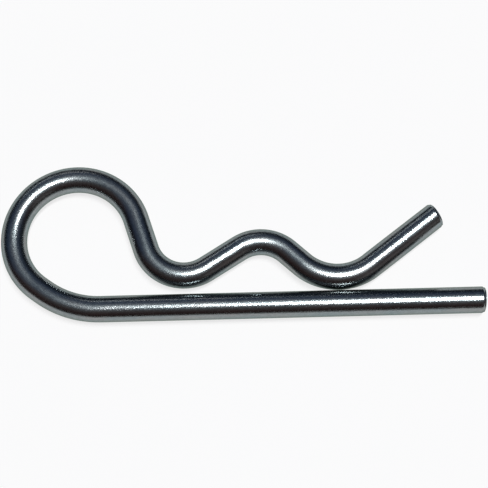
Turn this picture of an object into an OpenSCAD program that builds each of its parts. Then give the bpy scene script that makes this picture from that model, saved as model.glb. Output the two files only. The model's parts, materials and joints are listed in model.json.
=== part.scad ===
// Cotter pin of the hairpin kind: one length of spring wire, bent in one plane. Its straight leg goes
// through the cross hole of a shaft, and its hump snaps over the outside of that shaft.
// It lies flat. +X runs along the straight leg to its cut end, +Y is across the pin towards the sprung
// leg, and the origin is under the middle of the outline, on the surface that the pin lies on.

/* [Wire] */
// Diameter of the wire
wire_d = 4; // [3.3:0.05:5]
// Rounding of the edge round each cut end
end_round = 0.55; // [0.2:0.05:1.2]
// How much a bend draws the wire down, on its radius
draw_down = 0.01; // [0.01:0.005:0.03]

/* [Straight leg] */
// Length of the straight leg, from its cut end to the first bend
leg_l = 57.5; // [45:0.5:75]

/* [Eye] */
// Inside radius of the wide bend that leads out of the straight leg
lead_in_r = 12.5; // [9:0.5:16]
// Angle turned by the wide bend
lead_in_turn = 37; // [20:1:60]
// Straight run between the wide bend and the eye
join_l = 1; // [0.5:0.1:3]
// Inside radius of the eye
eye_r = 7.5; // [6:0.1:10]
// Slope at which the wire comes down from the eye
neck_slope = 72.5; // [58:0.5:86]

/* [Sprung leg] */
// Inside radius of the dip between the eye and the hump
dip_r = 4.1; // [3:0.1:5.5]
// Gap between the dip and the straight leg
dip_gap = 0.9; // [0.3:0.1:2]
// Slope from the dip up to the hump
rise_slope = 31.7; // [24:0.1:40]
// Inside radius of the hump
hump_r = 4; // [3:0.1:5.5]
// Clear height between the straight leg and the hump, where the side of the shaft sits
hump_h = 5.85; // [4.8:0.05:7.5]
// Slope from the hump down to the heel
fall_slope = 42.8; // [34:0.1:50]
// Inside radius of the heel, which closes on the straight leg
heel_r = 6; // [4:0.1:7.5]
// Gap between the heel and the straight leg
heel_gap = 0.1; // [0.05:0.05:1]
// Slope of the toe, which leads the shaft in
toe_slope = 37; // [28:0.5:50]
// Straight length of the toe, from the heel to its cut end
toe_l = 13.1; // [8:0.1:18]

/* [Hidden] */
$fn = 96;

wire_r = wire_d / 2;

// Degrees by which a bend runs on inside the straight run at each of its ends
lap = 1;

// Radii to the middle of the wire
lead_in_mid = lead_in_r + wire_r;
eye_mid = eye_r + wire_r;
dip_mid = dip_r + wire_r;
hump_mid = hump_r + wire_r;
heel_mid = heel_r + wire_r;

// The eye's centre. X here starts where the straight leg ends, and Y at the middle of that leg.
eye_x = (eye_mid - lead_in_mid) * sin(lead_in_turn) - join_l * cos(lead_in_turn);
eye_y = lead_in_mid + (eye_mid - lead_in_mid) * cos(lead_in_turn) + join_l * sin(lead_in_turn);

// How far the wire's middle climbs while it turns from level to a slope, or from the slope to level
function climb(mid_r, slope) = mid_r * (1 - cos(slope));

// Heights of the wire's middle: where the neck starts, at the dip, over the hump and at the heel
neck_y = eye_y + eye_mid * cos(neck_slope);
dip_y = wire_d + dip_gap;
hump_y = wire_d + hump_h;
heel_y = wire_d + heel_gap;

// Each sloping run is as long as the height that is left between its two bends
neck_l = (neck_y - dip_y - climb(dip_mid, neck_slope)) / sin(neck_slope);
rise_l = (hump_y - dip_y - climb(dip_mid + hump_mid, rise_slope)) / sin(rise_slope);
fall_l = (hump_y - heel_y - climb(hump_mid + heel_mid, fall_slope)) / sin(fall_slope);

// The lowest points of the dip and the heel, and the top of the hump, along the straight leg
dip_x = eye_x + (eye_mid + dip_mid) * sin(neck_slope) + neck_l * cos(neck_slope);
hump_x = dip_x + (dip_mid + hump_mid) * sin(rise_slope) + rise_l * cos(rise_slope);
heel_x = hump_x + (hump_mid + heel_mid) * sin(fall_slope) + fall_l * cos(fall_slope);

// The furthest points of the toe's rounded end
toe_run = toe_l - end_round;
end_r = wire_r - end_round;
toe_x = heel_x + (heel_mid + end_r) * sin(toe_slope) + toe_run * cos(toe_slope) + end_round;
toe_y = heel_y + climb(heel_mid, toe_slope) + toe_run * sin(toe_slope) + end_r * cos(toe_slope) + end_round;

// Middle of the outline
eye_out_r = eye_mid + wire_r - draw_down;
mid_x = (eye_x - eye_out_r + max(leg_l, toe_x)) / 2;
mid_y = (max(eye_y + eye_out_r, toe_y) - wire_r) / 2;

// A straight run along +X. What follows starts at its far end.
module straight(length) {
    rotate([0, 90, 0]) cylinder(r = wire_r, h = length);
    translate([length, 0, 0]) children();
}

// A bend to the left, or to the right where the turn is negative. What follows starts at its far end.
module bend(mid_r, turn) {
    side = sign(turn);
    translate([0, side * mid_r, 0]) {
        rotate_extrude(angle = abs(turn) + 2 * lap, start = min(turn, 0) - 90 * side - lap)
            translate([mid_r, 0]) circle(r = wire_r - draw_down);
        rotate([0, 0, turn]) translate([0, -side * mid_r, 0]) children();
    }
}

// The last of the wire at a cut, facing +X, with a flat face and a rounded edge
module cut_end() {
    rotate([0, 90, 0]) rotate_extrude() {
        square([end_r, end_round]);
        translate([end_r, 0]) intersection() {
            circle(r = end_round);
            square(end_round);
        }
    }
}

// The wire, run by run and bend by bend, from the straight leg's cut end to the toe's
module cotter_pin() {
    color([0.62, 0.65, 0.68])
    translate([leg_l - end_round - mid_x, -mid_y, wire_r]) {
        cut_end();
        rotate([0, 0, 180])
            straight(leg_l - end_round)
            bend(lead_in_mid, -lead_in_turn)
            straight(join_l)
            bend(eye_mid, lead_in_turn - 180 - neck_slope)
            straight(neck_l)
            bend(dip_mid, neck_slope + rise_slope)
            straight(rise_l)
            bend(hump_mid, -rise_slope - fall_slope)
            straight(fall_l)
            bend(heel_mid, fall_slope + toe_slope)
            straight(toe_run)
            cut_end();
    }
}

cotter_pin();
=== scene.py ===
import json
import math
import bpy
import bmesh
from mathutils import Matrix, Quaternion, Vector


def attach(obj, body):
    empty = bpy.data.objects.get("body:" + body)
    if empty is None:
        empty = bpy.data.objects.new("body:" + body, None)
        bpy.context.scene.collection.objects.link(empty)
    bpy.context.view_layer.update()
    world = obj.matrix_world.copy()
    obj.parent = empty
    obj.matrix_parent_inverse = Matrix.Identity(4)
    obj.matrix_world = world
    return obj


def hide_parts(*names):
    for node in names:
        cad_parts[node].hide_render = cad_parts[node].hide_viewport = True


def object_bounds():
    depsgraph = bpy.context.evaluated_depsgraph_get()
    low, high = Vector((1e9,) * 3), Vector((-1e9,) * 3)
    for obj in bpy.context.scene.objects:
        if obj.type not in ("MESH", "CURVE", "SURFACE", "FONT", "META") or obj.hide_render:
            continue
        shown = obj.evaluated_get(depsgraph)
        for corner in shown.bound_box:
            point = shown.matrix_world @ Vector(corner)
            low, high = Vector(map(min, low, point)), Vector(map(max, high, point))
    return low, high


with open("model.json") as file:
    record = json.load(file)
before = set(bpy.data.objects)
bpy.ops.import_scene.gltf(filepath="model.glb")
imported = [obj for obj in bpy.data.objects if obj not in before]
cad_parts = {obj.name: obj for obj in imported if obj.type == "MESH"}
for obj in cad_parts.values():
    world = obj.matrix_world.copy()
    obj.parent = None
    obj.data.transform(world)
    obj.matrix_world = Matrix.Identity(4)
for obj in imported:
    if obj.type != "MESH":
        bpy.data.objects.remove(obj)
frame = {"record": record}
cad_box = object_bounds()


# ---- Cotter pin ----
# One length of hard-drawn spring steel wire, cropped at both ends, bent cold in one plane round
# forming pins, tumbled so that the cut edges are round, and then zinc plated and blue passivated.
# It is laid out run by run from the straight leg's cut end, as a wire bender feeds it.

MM = 0.001

leg = next(mount for mount in frame["record"]["mounts"] if mount["name"] == "straight_leg")
leg_middle = Vector(leg["pos_m"])
leg_l = leg["dims"]["length_mm"] * MM
wire_r = leg["dims"]["r_mm"] * MM
wire_d = 2 * wire_r

# How much a bend draws the wire down, on its radius
draw_down = 0.01 * MM

# Every bend's radius runs to the middle of the wire. The wide bend and the eye have a short run
# between them, and the eye turns on until the neck slopes down from it.
lead_in_r = 12.5 * MM + wire_r
lead_in_turn = math.radians(37)
join_l = 1 * MM
eye_r = 7.5 * MM + wire_r
neck_slope = math.radians(72.5)

# Sprung leg: the dip, the hump that holds the shaft, the heel and the toe
dip_r = 4.1 * MM + wire_r
dip_y = wire_d + 0.9 * MM
rise_slope = math.radians(31.7)
hump_r = 4 * MM + wire_r
hump_y = wire_d + 5.85 * MM
fall_slope = math.radians(42.8)
heel_r = 6 * MM + wire_r
heel_y = wire_d + 0.1 * MM
toe_slope = math.radians(37)
toe_l = 13.1 * MM

# Each sloping run takes up the height that its two bends leave
eye_y = lead_in_r + (eye_r - lead_in_r) * math.cos(lead_in_turn) + join_l * math.sin(lead_in_turn)
neck_drop = eye_y + eye_r * math.cos(neck_slope) - dip_y - dip_r * (1 - math.cos(neck_slope))
rise_height = hump_y - dip_y - (dip_r + hump_r) * (1 - math.cos(rise_slope))
fall_drop = hump_y - heel_y - (hump_r + heel_r) * (1 - math.cos(fall_slope))

SIDES = 72
# The turn between one ring of a bend and the next, and the turn over which its stretch builds up
BEND_STEP = math.radians(2.5)
BEND_FADE = math.radians(12)
# The run over which the wire thins before the first bend, and thickens after the last
EASE = 1.5 * MM

# A cut end: how far back each ring lies from the cut face, and its radius as a share of the wire's.
# Behind the tumbled edge are the lip that the cropping blade leaves, and the fine ridge behind it.
CUT_END = [
    (0.00 * MM, 0.700),
    (0.02 * MM, 0.780),
    (0.06 * MM, 0.850),
    (0.11 * MM, 0.903),
    (0.16 * MM, 0.930),
    (0.28 * MM, 0.934),
    (0.34 * MM, 0.952),
    (0.41 * MM, 0.982),
    (0.48 * MM, 0.995),
    (0.54 * MM, 1.003),
    (0.62 * MM, 1.000),
]
# Neither end is cut quite square. The skin lies a hair inside the wire's nominal size, which leaves
# room for the ridge, and the tip is set back until the slanted face is inside the leg's end too.
leg_slant = math.radians(-3)
toe_slant = math.radians(-7)
hair = 0.015 * MM
skin_r = wire_r - hair
reach = skin_r * CUT_END[0][1] * math.sin(leg_slant) - hair
tip = leg_middle + Vector((leg_l / 2 + reach, CUT_END[-1][0] * math.sin(leg_slant), 0))

bpy.ops.object.select_all(action="DESELECT")
bpy.ops.mesh.primitive_circle_add(
    vertices=SIDES,
    radius=skin_r * CUT_END[0][1],
    fill_type="NGON",
    location=tip,
    rotation=(0, math.pi / 2, leg_slant),
)
pin = bpy.context.object
pin.name = "plated_pin"
bpy.ops.object.transform_apply(location=True, rotation=True, scale=True)
pin.data.attributes.new("drawn", "FLOAT_VECTOR", "POINT")
pin.data.attributes.new("strain", "FLOAT", "POINT")
bpy.ops.object.mode_set(mode="EDIT")
bpy.ops.mesh.select_all(action="SELECT")


class Bender:
    """The wire bender's head: where the wire leaves it, which way, and how much has been fed."""

    def __init__(self, place, heading):
        self.place = place
        self.heading = heading
        self.fed = 0.0
        self.known = 0
        self.share = CUT_END[0][1]
        self.note(self.on_straight)

    def way(self):
        return Vector((math.cos(self.heading), math.sin(self.heading), 0))

    def left(self):
        return Vector((-math.sin(self.heading), math.cos(self.heading), 0))

    def on_straight(self, point):
        """How far along and across the straight wire a point lies where nothing is stretched."""
        return self.fed, self.left().dot(point - self.place), 0.0

    def note(self, unbent):
        """Gives each new point its place on the straight wire, and how much its skin has stretched."""
        grown = bmesh.from_edit_mesh(pin.data)
        drawn = grown.verts.layers.float_vector["drawn"]
        strain = grown.verts.layers.float["strain"]
        grown.verts.ensure_lookup_table()
        for point in grown.verts[self.known:]:
            along, across, stretch = unbent(point.co)
            point[drawn] = (along, across, point.co.z - self.place.z)
            point[strain] = stretch
        self.known = len(grown.verts)

    def straight(self, length, widen=1.0):
        bpy.ops.mesh.extrude_region_move(TRANSFORM_OT_translate={"value": self.way() * length})
        bpy.ops.transform.resize(value=(widen, widen, widen))
        self.place += self.way() * length
        self.fed += length
        self.note(self.on_straight)

    def bend(self, radius, turn):
        side = math.copysign(1, turn)
        arm = -side * radius * self.left()
        centre = self.place - arm
        steps = math.ceil(abs(turn) / BEND_STEP)
        # The spin operator turns clockwise about its axis
        bpy.ops.mesh.spin(steps=steps, angle=turn, center=centre, axis=(0, 0, -1))

        def in_bend(point):
            off = point - centre
            turned = math.atan2(arm.cross(off).z * side, arm.dot(off)) % (2 * math.pi)
            begun = min(turned, abs(turn) - turned, BEND_FADE) / BEND_FADE
            return self.fed + radius * turned, side * (radius - off.xy.length), begun * wire_r / radius

        self.note(in_bend)
        self.place = centre + Matrix.Rotation(turn, 3, "Z") @ arm
        self.heading += turn
        self.fed += radius * abs(turn)

    def draw(self, length, share):
        """A short straight run over which the wire's radius changes to this share of the full one."""
        self.straight(length, widen=share / self.share)
        self.share = share

    def lean(self, angle):
        """Turns the newest ring, and the way onwards, about the ring's own middle."""
        bpy.ops.transform.rotate(
            value=-angle, orient_axis="Z", orient_type="GLOBAL", center_override=self.place
        )
        self.heading += angle

    def cut_end(self, rings):
        for (back, _), (next_back, share) in zip(rings, rings[1:]):
            self.draw(abs(next_back - back), share)


bender = Bender(tip, math.pi + leg_slant)
bender.cut_end(CUT_END)
bender.lean(-leg_slant)
bender.straight((bender.place - leg_middle).length + leg_l / 2 - EASE)
bender.draw(EASE, share=1 - draw_down / wire_r)
bender.bend(lead_in_r, -lead_in_turn)
bender.straight(join_l)
bender.bend(eye_r, lead_in_turn - math.pi - neck_slope)
bender.straight(neck_drop / math.sin(neck_slope))
bender.bend(dip_r, neck_slope + rise_slope)
bender.straight(rise_height / math.sin(rise_slope))
bender.bend(hump_r, -rise_slope - fall_slope)
bender.straight(fall_drop / math.sin(fall_slope))
bender.bend(heel_r, fall_slope + toe_slope)
bender.draw(EASE, share=1)
bender.straight(toe_l - EASE - CUT_END[-1][0])
bender.lean(toe_slant)
bender.cut_end(CUT_END[::-1])

# A narrow ring inside the edge of each cut face keeps that face flat where the rounding starts. The
# only edges that stay sharp are those that turn by more than the limit.
face_ring = 0.05 * MM
sharp_limit = math.radians(40)
bpy.ops.mesh.select_all(action="DESELECT")
shape = bmesh.from_edit_mesh(pin.data)
for face in shape.faces:
    face.select_set(len(face.verts) == SIDES)
bmesh.update_edit_mesh(pin.data)
bpy.ops.mesh.inset(thickness=face_ring)

bpy.ops.mesh.select_all(action="SELECT")
bpy.ops.mesh.normals_make_consistent(inside=False)
bpy.ops.object.mode_set(mode="OBJECT")
bpy.ops.object.shade_smooth_by_angle(angle=sharp_limit)


class Value:
    """One output of a shader node. Arithmetic on it adds the Math nodes that work it out."""

    def __init__(self, nodes, made, output=0):
        self.nodes = nodes
        self.made = made
        self.socket = made.outputs[output] if made.outputs else None

    def pick(self, output):
        return Value(self.nodes, self.made, output)

    def math(self, operation, first, second):
        return self.nodes.add("Math", {"operation": operation}, {0: first, 1: second})

    def __add__(self, other):
        return self.math("ADD", self, other)

    def __radd__(self, other):
        return self.math("ADD", other, self)

    def __mul__(self, other):
        return self.math("MULTIPLY", self, other)

    def __rmul__(self, other):
        return self.math("MULTIPLY", other, self)


class Nodes:
    """The shader nodes of one material, or of the room."""

    def __init__(self, owner):
        owner.use_nodes = True
        self.tree = owner.node_tree
        self.tree.nodes.clear()

    def add(self, kind, settings, sockets, output=0):
        """Adds a node: its settings first, and then the value or the link of each socket."""
        made = self.tree.nodes.new("ShaderNode" + kind)
        for name, setting in settings.items():
            if name == "stops":
                ramp = made.color_ramp.elements
                # A new stop may start anywhere, because each is then moved to its own place
                while len(ramp) < len(setting):
                    ramp.new(0.5)
                for stop, (position, colour) in zip(ramp, setting):
                    stop.position = position
                    stop.color = (*colour, 1)
            else:
                setattr(made, name, setting)
        for name, value in sockets.items():
            if isinstance(value, Value):
                self.tree.links.new(value.socket, made.inputs[name])
            else:
                made.inputs[name].default_value = value
        return Value(self, made, output)


zinc = bpy.data.materials.new("blue_zinc_plating")
nodes = Nodes(zinc)
drawn = nodes.add("Attribute", {"attribute_name": "drawn"}, {}, "Vector")
strain = nodes.add("Attribute", {"attribute_name": "strain"}, {}, "Fac")


def noise(along, across):
    """A pattern on the straight wire, with marks so many metres long and wide."""
    marks = nodes.add("Mapping", {}, {"Vector": drawn, "Scale": (1 / along, 1 / across, 1 / across)})
    return nodes.add("TexNoise", {}, {"Vector": marks, "Scale": 1.0, "Detail": 2.0})


# Drawing leaves fine lines along the wire, and the pickle before plating a fine sharp grain
lines = noise(along=1.5 * MM, across=0.06 * MM)
grain = noise(along=0.5 * MM, across=0.25 * MM)
cloud = noise(along=5 * MM, across=1.2 * MM)
relief = 0.28 * lines + 0.14 * grain
relief_depth = 0.03 * MM
bump = nodes.add("Bump", {}, {"Strength": 1.0, "Distance": relief_depth, "Height": relief})


def plate(tint, roughness):
    """A layer of the plating, which keeps about half of its shine where it is seen edge on."""
    return nodes.add(
        "BsdfPrincipled",
        {},
        {
            "Base Color": tint,
            "Metallic": 1.0,
            "Roughness": roughness,
            "Specular Tint": (0.45, 0.51, 0.46, 1),
            "Normal": bump,
        },
    )


# The colour sockets of a Mix node go by number, because its names repeat
MIX_SHARE = 0
MIX_FIRST = 6
MIX_SECOND = 7
MIX_COLOUR = 2

# The zinc is bright under its thin blue passive film, with a duller bloom of crystals in the grain
film = nodes.add(
    "Mix",
    {"data_type": "RGBA"},
    {MIX_SHARE: cloud, MIX_FIRST: (0.225, 0.303, 0.33, 1), MIX_SECOND: (0.365, 0.332, 0.32, 1)},
    MIX_COLOUR,
)
bloom = nodes.add(
    "ValToRGB",
    {"stops": [(0.38, (0.10, 0.122, 0.125)), (0.5, (0.16, 0.19, 0.192)), (0.62, (0.225, 0.268, 0.27))]},
    {"Fac": grain},
)
# Bending opens the grain of the skin, most where the bend is tight: both layers roughen there, and
# more of the dull one shows
bright = plate(film, roughness=0.165 + 0.05 * cloud + 0.12 * strain)
dull = plate(bloom, roughness=0.278 + 0.05 * strain)
plated = nodes.add("MixShader", {}, {"Fac": 0.31 + 0.30 * strain, 1: bright, 2: dull})
nodes.add("OutputMaterial", {}, {"Surface": plated})

pin.data.materials.append(zinc)
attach(pin, "root")
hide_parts("cotter_pin")


# ---- Floor ----
# The bench that the pin lies on: a plain white paper sheet, matt and level, which runs on past the
# view. Light passes through the paper from below too, so that the pin's shadow on it is faint.

bench_z = leg_middle.z - wire_r
sheet_width = 8
bpy.ops.object.select_all(action="DESELECT")
bpy.ops.mesh.primitive_plane_add(size=sheet_width, location=(0, 0, bench_z))
floor = bpy.context.object
floor.name = "floor"
bpy.ops.object.transform_apply(location=True, rotation=True, scale=True)
paper = bpy.data.materials.new("pale_paper")
sheet = Nodes(paper)
matt = sheet.add("BsdfDiffuse", {}, {"Color": (0.92, 0.92, 0.92, 1), "Roughness": 0.0})
white = sheet.add("Emission", {}, {"Color": (1, 1, 1, 1), "Strength": 1.0})
# Three quarters of the white that is seen, in the sheet or in its reflection, comes through the paper
ray = sheet.add("LightPath", {}, {}, "Is Camera Ray")
seen = ray + ray.pick("Is Glossy Ray") + ray.pick("Is Transmission Ray")
pale = sheet.add("MixShader", {}, {"Fac": 0.75 * seen, 1: matt, 2: white})
sheet.add("OutputMaterial", {}, {"Surface": pale})
floor.data.materials.append(paper)


# ---- Studio light ----
# A long narrow soft box hangs over the pin, a little to its right and turned aslant. A dim strip
# stands low behind the pin and a dim fill in front of it, in a dim room that is blue behind the pin,
# brown in front of it and darkest just above the bench.


def lamp(name, place, size, watts, turn):
    """An oval lamp that faces the pin, turned about its own middle, with its place and size in metres."""
    made = bpy.data.lights.new(name, "AREA")
    made.shape = "ELLIPSE"
    made.size, made.size_y = size
    made.energy = watts
    hung = bpy.data.objects.new(name, made)
    bpy.context.scene.collection.objects.link(hung)
    hung.location = place
    facing = Vector((0, 0, 1)).rotation_difference(Vector(place))
    hung.rotation_euler = (facing @ Quaternion((0, 0, 1), turn)).to_euler()


lamp("soft_box", place=(0.42, 0.04, 3.0), size=(0.37, 1.38), watts=78, turn=-0.6)
lamp("strip", place=(-0.95, 2.36, 1.59), size=(2.2, 0.20), watts=2.0, turn=0.384)
lamp("fill", place=(1.94, -1.94, 1.22), size=(2.0, 1.2), watts=0.8, turn=0.785)

world = bpy.data.worlds.new("dim_room")
bpy.context.scene.world = world
room = Nodes(world)
way = room.add("TexCoord", {}, {}, "Generated")
split = room.add("SeparateXYZ", {}, {"Vector": way})
rise = split.pick("Z")
behind = room.add(
    "ValToRGB",
    {"stops": [
        (0.0, (0.20, 0.21, 0.22)),
        (0.05, (0.020, 0.023, 0.027)),
        (0.11, (0.014, 0.018, 0.026)),
        (0.45, (0.018, 0.026, 0.046)),
        (0.74, (0.065, 0.09, 0.155)),
        (1.0, (0.13, 0.15, 0.20)),
    ]},
    {"Fac": rise},
)
before = room.add(
    "ValToRGB",
    {"stops": [
        (0.0, (0.20, 0.21, 0.22)),
        (0.05, (0.034, 0.03, 0.03)),
        (0.11, (0.030, 0.017, 0.015)),
        (0.5, (0.062, 0.034, 0.034)),
        (0.80, (0.105, 0.085, 0.085)),
        (1.0, (0.13, 0.15, 0.20)),
    ]},
    {"Fac": rise},
)
side = room.add(
    "MapRange",
    {"interpolation_type": "SMOOTHSTEP"},
    {"Value": split.pick("Y"), "From Min": -0.35, "From Max": 0.15, "To Min": 0.0, "To Max": 1.0},
)
glow = room.add(
    "Mix",
    {"data_type": "RGBA"},
    {MIX_SHARE: side, MIX_FIRST: before, MIX_SECOND: behind},
    MIX_COLOUR,
)
sky = room.add("Background", {}, {"Color": glow, "Strength": 1.0})
room.add("OutputWorld", {}, {"Surface": sky})


# ---- Camera ----
# A camera with a long lens looks down on the pin from a hand's length away, leaning a little towards
# the straight leg's side. It takes in the whole pin, with a narrow margin at each end.

CAMERA_DISTANCE = 200 * MM
camera_data = bpy.data.cameras.new("camera")
camera_data.lens = 97.4
camera_data.sensor_width = 36
camera_data.clip_start = 0.01
camera = bpy.data.objects.new("camera", camera_data)
bpy.context.scene.collection.objects.link(camera)
lean = Matrix.Rotation(math.radians(17.12), 3, "X")
sway = Matrix.Rotation(math.radians(0.49), 3, "Y")
roll = Matrix.Rotation(math.radians(-1.45), 3, "Z")
turned = lean @ sway @ roll
low, high = cad_box
off_centre = Vector((0.52, -0.67, 0)) * MM
aim = (Vector(low) + Vector(high)) / 2 + off_centre
camera.location = aim + turned @ Vector((0, 0, CAMERA_DISTANCE))
camera.rotation_euler = turned.to_euler()
bpy.context.scene.camera = camera
bpy.context.scene.view_settings.view_transform = "Standard"
